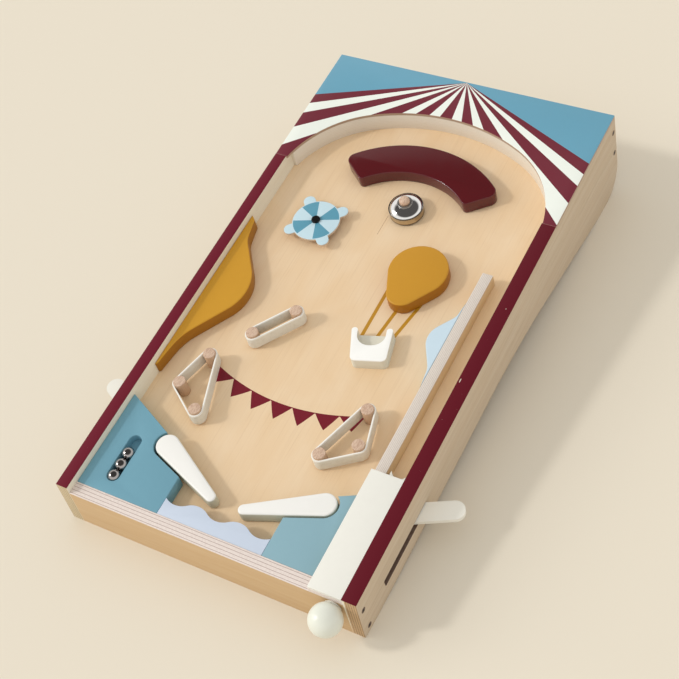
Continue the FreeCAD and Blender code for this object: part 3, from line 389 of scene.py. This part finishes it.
def panel_finish(name, rim_colour, front_pale, front_line):
    """Side panel: veneered faces, painted rim, bare edges, burnt lever slot, nail marks."""
    finish = Finish(name, 0.5, Specular_IOR_Level=0.2)
    x, y, z = finish.axes()

    outer, pores = veneer(finish, LENGTHWISE, tone(168, 142, 112), tone(214, 198, 176),
                          tone(204, 182, 154))
    inner = finish.mix(finish.noise((3, 120, 0.9), 3, 0.6), tone(246, 240, 222),
                       tone(228, 218, 196))
    wood = finish.mix(abs(x) > PANEL_MIDDLE, inner, outer)
    across, layer_count, front_end = abs(x) - PANEL_INSIDE, 5, 1.2
    edge = layers(finish, across, PANEL_THICKNESS, layer_count, EDGE_PALE, EDGE_LINE)
    front = layers(finish, across, PANEL_THICKNESS, layer_count, front_pale, front_line,
                   0.6, 0.36)
    edge = finish.mix(y < front_end, edge, front)
    inner_veneer, outer_veneer = 138.62, 149.88
    between_faces = (abs(x) > inner_veneer) * (abs(x) < outer_veneer)
    colour = finish.mix(between_faces, wood, edge)

    slot_front, slot_rear, slot_low, slot_middle, slot_high = 37, 119, -18.2, -13, -7.8
    slot = between_faces * (y > slot_front) * (y < slot_rear) * (z > slot_low) * (z < slot_high)
    burnt = finish.mix(abs(z - slot_middle).soft_step(3.7, 4.4), tone(188, 150, 112),
                       tone(84, 54, 38))
    burn = finish.cloud(3, 3, 0.6)
    colour = finish.mix(slot * (0.7 + burn * 0.3).kept(), colour, burnt)

    chip_half = 0.35
    chips = finish.cloud(1.1, 2, 0.6, shift=(3, 9, 1)).soft_step(0.785, 0.8)
    for chip_x, chip_y, chip_half_length in ((144.6, 303.1, 0.5), (138.2, 220.6, 1.9)):
        chip = (abs(x - chip_x) < chip_half) * (abs(y - chip_y) < chip_half_length)
        chips = (chips + chip * 0.8).kept()
    rim_low, rim_rear, seam_y, seam_half, seam_low = 21.3, 403.2, 402.9, 0.25, 21
    rim = (z > rim_low) * (y < rim_rear) * (1 - chips)
    seam = (abs(y - seam_y) < seam_half) * (z > seam_low)
    colour = finish.mix(rim, colour, rim_colour)
    colour = finish.mix(seam * 0.55, colour, tone(190, 150, 140))

    on_outer_face = abs(x) > 149
    mark_square, core_square = 9.5, 6.5
    for nail_y in (5.5, 541.5):
        for nail_z in (3.0, -25.0):
            aside, above = y - nail_y, z - nail_z
            nail = (aside * aside + above * above).soft_step(mark_square, core_square)
            colour = finish.mix(nail * on_outer_face * 0.85, colour, tone(70, 46, 44))
    finish.colour(colour)
    finish.roughness(0.52 - rim * 0.08 + pores * 0.08)
    finish.relief(pores, 0.02)
    return finish


def front_wall_finish():
    """Front wall: bare layers and a small mark on its top, crosswise veneer on its face."""
    finish = Finish("front_ply", 0.5)
    x, y, z = finish.axes()
    top = z > 13.6
    thickness, layer_count, layer_shift = 16, 5, -0.8
    mark_x, mark_y, mark_square = 14.5, -2.2, 0.7
    wood, pores = veneer(finish, CROSSWISE, BIRCH_DARK, tone(212, 183, 141),
                         tone(200, 165, 119))
    edge = layers(finish, y, thickness, layer_count, tone(240, 229, 221), tone(128, 88, 74),
                  layer_shift)
    aside, along = x - mark_x, y - mark_y
    mark = (aside * aside + along * along) < mark_square
    colour = finish.mix(top, wood, edge)
    finish.colour(finish.mix(mark * top, colour, tone(30, 24, 24)))
    finish.sanded(pores)
    return finish


def divider_finish():
    """Lane divider: bare layers on top, veneered sides."""
    finish = Finish("divider_ply", 0.5)
    x, y, z = finish.axes()
    left_x, thickness, layer_count, pale_half, cover_rear = 105, 10.5, 7, 0.34, 115.4
    wood, pores = veneer(finish, LENGTHWISE, BIRCH_DARK, tone(218, 192, 156),
                         tone(200, 170, 130))
    edge = layers(finish, x - left_x, thickness, layer_count, tone(230, 222, 212),
                  tone(176, 156, 142), pale_half=pale_half)
    top = (z > 13.55) * (y > cover_rear)
    finish.colour(finish.mix(top, wood, edge))
    finish.sanded(pores)
    return finish


def arch_finish():
    """Inner layer of the arch: many bare layers, one over another, under a thin seam."""
    finish = Finish("arch_ply", 0.55)
    z = finish.height()
    height, layer_count = 19, 9
    edge = layers(finish, z, height, layer_count, tone(243, 237, 224), tone(226, 214, 196))
    streaks = finish.noise((30, 30, 0.6), 3, 0.6)
    seam = z.soft_step(18.3, 18.7)
    edge = finish.mix(seam * 0.5, edge, tone(150, 120, 90))
    finish.colour(finish.mix(streaks * 0.2, edge, tone(196, 176, 150)))
    finish.roughness(0.5 + streaks * 0.12)
    finish.relief(streaks, 0.03)
    return finish


def plain_ply(name, direction):
    """Bare sanded veneer all over."""
    finish = Finish(name, 0.52)
    wood, pores = veneer(finish, direction, BIRCH_DARK, BIRCH, BIRCH_WARM)
    finish.colour(wood)
    finish.sanded(pores)
    return finish


def peg_finish():
    """Turned pegs: end rings on top and upright grain round the side."""
    finish = Finish("peg_wood", 0.5)
    rings = finish.noise((1.1, 3.2, 60), 3, 0.6, 0.8)
    streaks = finish.noise((0.8, 0.8, 22), 3, 0.6)
    side = finish.mix(streaks.kept(), tone(212, 180, 150), tone(184, 146, 114))
    top = finish.mix(rings.soft_step(0.4, 0.62), tone(216, 188, 164), tone(192, 158, 134))
    on_top = finish.height().soft_step(17.3, 17.5)
    finish.colour(finish.mix(on_top, side, top))
    finish.roughness(0.45 + streaks * 0.12)
    finish.relief(streaks, 0.03)
    return finish


def band_finish():
    """White elastic: fine lengthwise ribs, a faint dusty bloom and a painted highlight along the
    upper edge.
    """
    finish = Finish("elastic", 0.62)
    z = finish.height()
    ribs = (z * 4.5).worked("SINE") * 0.5 + 0.5
    dust = finish.cloud(4, 4, 0.65)
    body = finish.mix(dust.soft_step(0.45, 0.75) * 0.5, tone(230, 226, 214),
                      tone(208, 200, 184))
    body = finish.mix(ribs * 0.08, body, tone(170, 164, 152))
    # Painted highlight: the upper edge is lighter where the light falls on it
    painted_highlight_edge = z.soft_step(13.6, 14.4)
    finish.colour(finish.mix(painted_highlight_edge, body, tone(244, 242, 234)))
    finish.roughness(0.56 + dust * 0.14)
    finish.relief(ribs, 0.06)
    return finish


def spinner_finish():
    """Eight painted sectors round the screw, over a bare plywood edge."""
    finish = Finish("spinner_print", 0.4)
    x, y, z = finish.axes()
    centre_x, centre_y, print_radius = -76.8, 347.4, 22.9
    sector_pairs, first_sector = 4, 42
    under, thickness, layer_count = 6.3, 3, 3
    aside, along = x - centre_x, y - centre_y
    angle = along.worked("ARCTAN2", aside)
    turned_back = math.radians(first_sector * sector_pairs)
    sector = (angle * sector_pairs - turned_back).worked("COSINE") > 0
    inside = (aside * aside + along * along) < print_radius ** 2
    top = finish.mix(sector * inside, tone(200, 226, 236), tone(92, 158, 182))
    edge = layers(finish, z - under, thickness, layer_count, tone(222, 204, 182),
                  tone(160, 128, 104))
    mottle = finish.cloud(5)
    top = finish.mix(mottle * 0.05, top, tone(90, 96, 104))
    on_top = z.soft_step(8.75, 8.9)
    finish.colour(finish.mix(on_top, edge, top))
    finish.roughness(0.34 + mottle * 0.14)
    finish.relief(mottle, 0.03)
    return finish


def bell_finish():
    """Chrome with painted reflections: painted shade along its lower rim and under its brim, and
    a painted reflection of warm wood on its skirt.
    """
    finish = Finish("bell_chrome", 0.06, Metallic=1.0)
    z = finish.height()
    cloud = finish.cloud(6)
    # Painted shade along the lower rim, a painted reflection of warm wood on the skirt, a band of
    # painted shade under the brim, and plain chrome above it
    rim_shade_to_painted_reflection, brim_painted_shade, over_brim = (z.soft_step(low, high) for low, high in
                                       ((1.6, 3.0), (7.9, 8.5), (9.3, 9.7)))
    side = finish.mix(rim_shade_to_painted_reflection, tone(70, 52, 40), tone(200, 182, 154))
    side = finish.mix(brim_painted_shade, side, tone(64, 56, 50))
    body = finish.mix(over_brim, side, tone(240, 240, 240))
    finish.colour(finish.mix(cloud * 0.15, body, tone(120, 116, 110)))
    finish.roughness(0.05 + cloud * 0.05)
    return finish


def metal(name, colour, roughness, scratch):
    """Bright metal with faint polishing marks."""
    finish = Finish(name, roughness, Metallic=1.0)
    marks = finish.noise((0.4, 9, 0.4), 3, 0.7)
    cloud = finish.cloud(6)
    finish.colour(finish.mix(cloud * 0.2, colour, tone(150, 146, 140)))
    finish.roughness(roughness + marks * scratch)
    finish.relief(marks, 0.002)
    return finish


def dark_metal(name):
    """Blackened steel with a cloudy sheen."""
    finish = Finish(name, 0.42, Metallic=0.7)
    cloud = finish.cloud(1.5)
    finish.colour(finish.mix(cloud, tone(14, 14, 16), tone(44, 42, 42)))
    finish.roughness(0.34 + cloud * 0.2)
    return finish


def moulded(name, colour, deep):
    """Moulded plastic with a faintly uneven skin."""
    finish = Finish(name, 0.45)
    cloud = finish.cloud(3)
    finish.colour(finish.mix(cloud * 0.4, colour, deep))
    finish.roughness(0.4 + cloud * 0.15)
    finish.relief(cloud, 0.02)
    return finish


FINISHES = {
    "field": playfield_finish(),
    "cap": cap_finish(),
    "left_panel": panel_finish("left_panel_ply", BURGUNDY, tone(218, 200, 166),
                               tone(142, 122, 88)),
    # The right rim's burgundy is a darker copy of the left rim's paint: painted shade
    "right_panel": panel_finish("right_panel_ply", tone(100, 12, 30), tone(214, 180, 138),
                                tone(70, 46, 32)),
    "front": front_wall_finish(),
    "rear": plain_ply("rear_ply", CROSSWISE),
    "divider": divider_finish(),
    "arch": arch_finish(),
    "ply_along": plain_ply("ply_along", LENGTHWISE),
    "left_blue": painted("left_blue_paint", tone(116, 166, 184), tone(110, 159, 178), 0.42),
    # The right block's blue is a paler copy of the left block's paint: a painted reflection
    "right_blue_painted_sheen": painted("right_blue_paint", tone(140, 177, 189), tone(134, 171, 184), 0.42),
    "pale_blue": painted("pale_blue_paint", tone(200, 220, 232), tone(192, 213, 226), 0.42),
    "wave": painted("wave_paint", tone(203, 214, 230), tone(196, 208, 226), 0.45),
    # The side tones of the mustard, hill, basket and flipper paints are painted shade on their
    # sides
    "mustard": painted("mustard_paint", tone(201, 146, 42), tone(196, 140, 38), 0.4, 0.3,
                       tone(164, 104, 12)),
    # The hill's paint is the mustard paint again in a lighter copy: painted light
    "hill": painted("hill_paint", tone(211, 156, 46), tone(204, 148, 40), 0.4, 0.3,
                    tone(164, 108, 24)),
    "arc": painted("burgundy_gloss", tone(90, 20, 26), tone(84, 16, 22), 0.16, 0.6),
    "white": painted("white_paint", WHITE, tone(232, 230, 222), 0.4),
    "basket": painted("basket_paint", tone(250, 250, 246), tone(244, 243, 238), 0.4, 0.35,
                      tone(222, 218, 202), 13),
    "flipper": painted("flipper_paint", tone(243, 242, 238), tone(238, 237, 231), 0.4, 0.35,
                       tone(200, 198, 178), 14.4),
    "lever": painted("lever_paint", tone(248, 245, 234), tone(242, 240, 228), 0.4),
    "knob": painted("knob_paint", tone(232, 234, 222), tone(226, 228, 214), 0.3, 0.5),
    "peg": peg_finish(),
    "band": band_finish(),
    "spinner": spinner_finish(),
    "chrome": bell_finish(),
    "steel": metal("bright_steel", tone(170, 166, 166), 0.1, 0.06),
    "zinc": metal("zinc_steel", tone(176, 176, 174), 0.3, 0.2),
    "black": dark_metal("black_screw"),
    "nail": dark_metal("nail_steel"),
    "nylon": moulded("nylon", tone(226, 224, 214), tone(206, 202, 188)),
}


# Pieces


def pick(piece):
    """Selects one piece only."""
    bpy.ops.object.select_all(action="DESELECT")
    piece.select_set(True)
    bpy.context.view_layer.objects.active = piece


def body_of_node(node):
    bodies = frame["record"]["behaviour"]["bodies"]
    return [name for name, nodes in bodies.items() if node in nodes][0]


def finished(piece, finish, node, body=None):
    """Gives a piece its finish and the body of the node that it stands for, and hides that node.

    A piece with no body given is left without one.
    """
    piece.data.materials.clear()
    piece.data.materials.append(FINISHES[finish].material)
    if body:
        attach(piece, body)
    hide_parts(node)
    return piece


def fuller_arc(point):
    """Curved block: its ends fan out a little towards the rear."""
    centre_x, centre_y, inner_radius, width, fan_share = -0.8, 349.5, 78.5, 35.3, 0.045
    aside, along = point.x - centre_x, point.y - centre_y
    reach = math.hypot(aside, along)
    fan = max(0.0, (reach - inner_radius) / width)
    angle = math.atan2(aside, along) * (1 + fan_share * fan)
    point.x = reach * math.sin(angle) + centre_x
    point.y = reach * math.cos(angle) + centre_y


def fuller_basket(point):
    """Basket: its lower right corner stands out, and the whole moves over a little."""
    centre_x, centre_y, turn = 45.6, 215.4, math.radians(16.6)
    half_width, height, corner, over = 15, 30, 2.8, 0.8
    cosine, sine = math.cos(turn), math.sin(turn)
    across = (point.x - centre_x) * cosine + (point.y - centre_y) * sine
    along = (point.y - centre_y) * cosine - (point.x - centre_x) * sine
    push = over + max(0.0, across / half_width) * max(0.0, 1 - along / height) * corner
    point.x += push * cosine
    point.y += push * sine


def fuller_flipper(point):
    """Flipper: a little taller over its lower face."""
    lower_face, taller = 0.6, 1.11
    point.z = lower_face + (point.z - lower_face) * taller


def fuller_rail(point):
    """Right panel: its rim stands out over the lane, and just above the launch cover."""
    rim_height, arch_front, inner_side, overhang, rise = 20, 404, 139.5, 2.3, 0.12
    if point.z > rim_height and point.y < arch_front:
        point.z += rise
        if point.x < inner_side:
            point.x -= overhang


FULLER = {"right_side_panel": fuller_rail, "arc_block": fuller_arc, "basket_block": fuller_basket,
          "left_flipper": fuller_flipper, "right_flipper": fuller_flipper}


def welded(name, node, gap):
    """Copy of a node's mesh, open for shaping, with points nearer than the gap merged."""
    piece = bpy.data.objects.new(name, frame["nodes"][node].data.copy())
    bpy.context.scene.collection.objects.link(piece)
    pick(piece)
    bpy.ops.object.mode_set(mode="EDIT")
    bpy.ops.mesh.select_all(action="SELECT")
    bpy.ops.mesh.customdata_custom_splitnormals_clear()
    bpy.ops.mesh.remove_doubles(threshold=gap * MM)
    return piece


def eased(node, finish, radius):
    """Copy of a node's mesh with its sharp edges rounded over."""
    piece = welded("eased_" + node, node, 0.005)
    bpy.ops.mesh.dissolve_limited(angle_limit=math.radians(0.4))
    bpy.ops.mesh.normals_make_consistent(inside=False)
    bpy.ops.object.mode_set(mode="OBJECT")
    if node in FULLER:
        piece.data.transform(Matrix.Scale(1 / MM, 4) @ BOARD.inverted())
        for vertex in piece.data.vertices:
            FULLER[node](vertex.co)
        piece.data.transform(BOARD @ Matrix.Scale(MM, 4))
    pick(piece)
    rounding = piece.modifiers.new("Bevel", "BEVEL")
    rounding.width = radius * MM
    rounding.segments = 3
    rounding.limit_method = "ANGLE"
    rounding.angle_limit = math.radians(32)
    bpy.ops.object.modifier_apply(modifier=rounding.name)
    bpy.ops.object.shade_smooth_by_angle(angle=math.radians(40))
    return finished(piece, finish, node, body_of_node(node))


def blank(name, add, size):
    """Starts a piece from a primitive of a size in millimetres, open for shaping."""
    bpy.ops.object.select_all(action="DESELECT")
    add(size=size * MM)
    piece = bpy.context.object
    piece.name = name
    bpy.ops.object.mode_set(mode="EDIT")
    return piece


def lay(piece, spot, turn=Matrix.Identity(4)):
    """Closes the shaping and lays the piece in its place on the board."""
    bpy.ops.mesh.select_all(action="SELECT")
    bpy.ops.mesh.remove_doubles(threshold=0.002 * MM)
    bpy.ops.mesh.normals_make_consistent(inside=False)
    bpy.ops.object.mode_set(mode="OBJECT")
    piece.data.transform(BOARD @ Matrix.Translation(Vector(spot) * MM) @ turn)
    pick(piece)
    bpy.ops.object.shade_smooth_by_angle(angle=math.radians(38))
    return piece


def turned(name, spot, outline, steps, turn=Matrix.Identity(4)):
    """Piece turned on a lathe: its outline in (radius, height) is drawn out and spun."""
    piece = blank(name, bpy.ops.mesh.primitive_plane_add, 1)
    bpy.ops.mesh.merge(type="CENTER")
    here = Vector((0, 0, 0))
    for index, (radius, height) in enumerate(outline):
        there = Vector((radius, 0, height)) * MM
        if index == 0:
            bpy.ops.transform.translate(value=there - here)
        else:
            bpy.ops.mesh.extrude_region_move(TRANSFORM_OT_translate={"value": there - here})
        here = there
    bpy.ops.mesh.select_all(action="SELECT")
    bpy.ops.mesh.spin(steps=steps, angle=math.tau, center=(0, 0, 0), axis=(0, 0, 1))
    return lay(piece, spot, turn)


def curve(centre, radius, start, end, count):
    """Points of an outline's round corner, from start to end in degrees."""
    points = []
    for index in range(count + 1):
        angle = math.radians(start + (end - start) * index / count)
        points.append((centre[0] + radius * math.cos(angle),
                       centre[1] + radius * math.sin(angle)))
    return points


def bell():
    """Chromed cup with a rolled brim, its collar and its wooden button."""
    spot = (0, 390.2, 0)
    brim_radius, dome_start, dome_rise, crown = 17, 6.6, 9.2, 14.95
    cup = [(3.0, crown), (7.4, crown)]
    cup += [(brim_radius * math.sin(step), dome_start + dome_rise * math.cos(step))
            for step in [0.5 + index * 0.085 for index in range(10)]]
    cup += [(17.0, 9.6), (17.0, 9.0), (16.6, 8.5), (16.5, 3.0)]
    cup += curve((16.3, 1.8), 0.6, 20, -160, 6)
    cup += [(15.3, 4.0), (15.4, 8.4), (13.6, 11.2), (10.0, 13.4), (3.0, 13.7), (3.0, crown)]
    finished(turned("bell_dome", spot, cup, 96), "chrome", "bell_cup", "case")
    ring = [(3.1, 15.0), (7.2, 15.0)] + curve((6.9, 15.6), 0.6, -60, 90, 5)
    ring += [(3.1, 16.2), (3.1, 15.0)]
    finished(turned("bell_ring", spot, ring, 48), "zinc", "bell_collar", "case")
    button = [(0.0, 16.2), (4.8, 16.2)] + curve((4.7, 16.7), 0.5, -80, 0, 3)
    button += curve((1.4, 17.9), 3.8, 8, 90, 10) + [(0.0, 21.7)]
    finished(turned("bell_top", spot, button, 48), "peg", "bell_button", "case")


# The plunger's axis runs along the board at this place
PLUNGER_X = 127
PLUNGER_Z = 7.5


def knob():
    """Round knob, flattened and drilled where the rod enters it."""
    radius, flat, bore, bore_end = 14.6, 12.4, 3.1, -3.0
    sphere = [(0.0, -radius)] + curve((0, 0), radius, -88, 57, 40)
    sphere += [(7.1, flat), (bore, flat), (bore, bore_end), (0.0, bore_end)]
    toward_player = Matrix.Rotation(math.radians(-90), 4, "X")
    piece = turned("round_knob", (PLUNGER_X, -15.26, PLUNGER_Z), sphere, 72, toward_player)
    finished(piece, "knob", "plunger_knob", "plunger")


def balls():
    """Three steel balls in their tray, each a cube divided and drawn to a sphere."""
    diameter, tray_x, first_y, pitch, centre_z = 12, -110.4, 30.12, 12.02, 11.52
    rolled = []
    for index in range(3):
        ball = blank("ball_%d" % (index + 1), bpy.ops.mesh.primitive_cube_add, diameter)
        bpy.ops.mesh.subdivide(number_cuts=23)
        bpy.ops.mesh.select_all(action="SELECT")
        bpy.ops.transform.tosphere(value=1.0)
        bpy.ops.object.mode_set(mode="OBJECT")
        points = [point.co.length for point in ball.data.vertices]
        mean_radius = sum(points) / len(points)
        ball.data.transform(Matrix.Scale(diameter / 2 * MM / mean_radius, 4))
        bpy.ops.object.mode_set(mode="EDIT")
        rolled.append(lay(ball, (tray_x, first_y + pitch * index, centre_z)))
    bpy.ops.object.select_all(action="DESELECT")
    for ball in rolled:
        ball.select_set(True)
    bpy.context.view_layer.objects.active = rolled[0]
    bpy.ops.object.join()
    rolled[0].name = "three_balls"
    finished(rolled[0], "steel", "steel_balls", "balls")


def spring(node, body=None):
    """Copy of a spring's wire, merged and smoothed, with its finish."""
    piece = welded("wound_" + node, node, 0.002)
    bpy.ops.object.mode_set(mode="OBJECT")
    bpy.ops.object.shade_smooth_by_angle(angle=math.radians(50))
    return finished(piece, "zinc", node, body)


bell()
knob()
balls()

# The plunger spring is squashed between its striker and the front wall
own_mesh(spring("plunger_spring", "case"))

# Each return spring hangs under the board, from a fixed screw to the lever's hook
for side, name in ((-1, "left"), (1, "right")):
    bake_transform(spring(name + "_return_spring"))

# Pieces with rounded edges: node, finish and radius in millimetres
EASED = [
    ("left_side_panel", "left_panel", 0.5), ("right_side_panel", "right_panel", 0.5),
    ("front_wall", "front", 0.4), ("rear_wall", "rear", 0.4), ("arch_cap", "cap", 0.35),
    ("arch_frame", "arch", 0.15), ("lane_divider", "divider", 0.5),
    ("left_flipper_block", "left_blue", 0.9), ("right_flipper_block", "right_blue_painted_sheen", 0.9),
    ("launch_cover", "white", 0.5), ("cover_ledge", "white", 0.3),
    ("wave_plate", "wave", 0.3), ("mustard_hill", "hill", 1.0),
    ("blue_hill", "pale_blue", 1.0), ("arc_block", "arc", 1.3),
    ("balloon_block", "mustard", 1.3), ("basket_block", "basket", 1.5),
    ("left_flipper", "flipper", 1.8), ("right_flipper", "flipper", 1.8),
    ("left_lever", "white", 0.8), ("right_lever", "lever", 0.8),
    ("plunger_striker", "white", 0.6), ("spinner_disc", "spinner", 0.5),
    ("left_bumper_band", "band", 0.3), ("right_bumper_band", "band", 0.3),
    ("upper_bumper_band", "band", 0.3), ("left_bumper_pegs", "peg", 0.5),
    ("right_bumper_pegs", "peg", 0.5), ("upper_bumper_pegs", "peg", 0.5),
    ("left_support_rail", "ply_along", 0.6), ("right_support_rail", "ply_along", 0.6),
    ("front_support_cleat", "rear", 0.6), ("bell_post", "peg", 0.4),
    ("spinner_spacer", "nylon", 0.2), ("plunger_rod", "zinc", 0.3),
    ("plunger_bush", "nylon", 0.3), ("left_shaft", "zinc", 0.3), ("right_shaft", "zinc", 0.3),
    ("left_shaft_bush", "nylon", 0.3), ("right_shaft_bush", "nylon", 0.3),
    ("left_lever_washer", "zinc", 0.2), ("right_lever_washer", "zinc", 0.2),
]
for node, finish, radius in EASED:
    eased(node, finish, radius)

# Pieces that are good as they are and only take a finish
KEPT = {
    "playfield": "field", "spinner_screw": "black", "panel_nails": "nail",
    "anchor_screws": "zinc", "left_lever_screw": "zinc", "right_lever_screw": "zinc",
    "left_hook_screw": "zinc", "right_hook_screw": "zinc",
}
for node, finish in KEPT.items():
    materials = frame["nodes"][node].data.materials
    materials.clear()
    materials.append(FINISHES[finish].material)


# Floor, light and camera

WARM_WHITE = (1.0, 0.985, 0.96)

bpy.ops.object.select_all(action="DESELECT")
bpy.ops.mesh.primitive_plane_add(size=12, location=(0, 0, 0))
floor = bpy.context.object
floor.name = "floor"
floor_finish = Finish("floor_paper", 0.85)
floor_finish.colour(tone(231, 222, 204))
floor.data.materials.append(floor_finish.material)

# Windows: name, strength, softness in degrees and the way that their light goes
for name, strength, softness, way in (("window", 0.9, 6, (0.6701, 0.4098, -0.6188)),
                                      ("low_window", 0.5, 24, (0.83, 0.36, -0.43))):
    lamp_data = bpy.data.lights.new(name, "SUN")
    lamp_data.energy = strength
    lamp_data.angle = math.radians(softness)
    lamp_data.color = WARM_WHITE
    lamp = bpy.data.objects.new(name, lamp_data)
    bpy.context.scene.collection.objects.link(lamp)
    lamp.rotation_euler = Vector(way).to_track_quat("-Z", "Y").to_euler()

# Even light all round; what shines sees a bright wall under a dark ceiling
world = bpy.data.worlds.new("studio")
bpy.context.scene.world = world
world.use_nodes = True
room = world.node_tree
plain = room.nodes["Background"]
plain.inputs["Color"].default_value = WARM_WHITE + (1,)
plain.inputs["Strength"].default_value = 0.79
upward = room.nodes.new("ShaderNodeSeparateXYZ")
room.links.new(room.nodes.new("ShaderNodeTexCoord").outputs["Generated"], upward.inputs[0])
wall = room.nodes.new("ShaderNodeValToRGB")
room.links.new(upward.outputs["Z"], wall.inputs["Fac"])
wall_top, ceiling_start = wall.color_ramp.elements
wall_top.position = 0.50
wall_top.color = (0.98, 0.96, 0.92, 1)
ceiling_start.position = 0.66
ceiling_start.color = (0.09, 0.085, 0.08, 1)
mirrored = room.nodes.new("ShaderNodeBackground")
room.links.new(wall.outputs["Color"], mirrored.inputs["Color"])
either = room.nodes.new("ShaderNodeMixShader")
path = room.nodes.new("ShaderNodeLightPath")
room.links.new(path.outputs["Is Glossy Ray"], either.inputs["Fac"])
room.links.new(plain.outputs[0], either.inputs[1])
room.links.new(mirrored.outputs[0], either.inputs[2])
room.links.new(either.outputs[0], room.nodes["World Output"].inputs["Surface"])

camera_data = bpy.data.cameras.new("camera")
camera_data.lens = 74.869
camera_data.sensor_width = 36
camera = bpy.data.objects.new("camera", camera_data)
bpy.context.scene.collection.objects.link(camera)
camera.location = (0.53786, -0.67061, 1.02926)
camera.rotation_euler = Euler([math.radians(angle) for angle in (39.6067, 9.2226, 28.4937)])
bpy.context.scene.camera = camera
bpy.context.scene.view_settings.view_transform = "Standard"
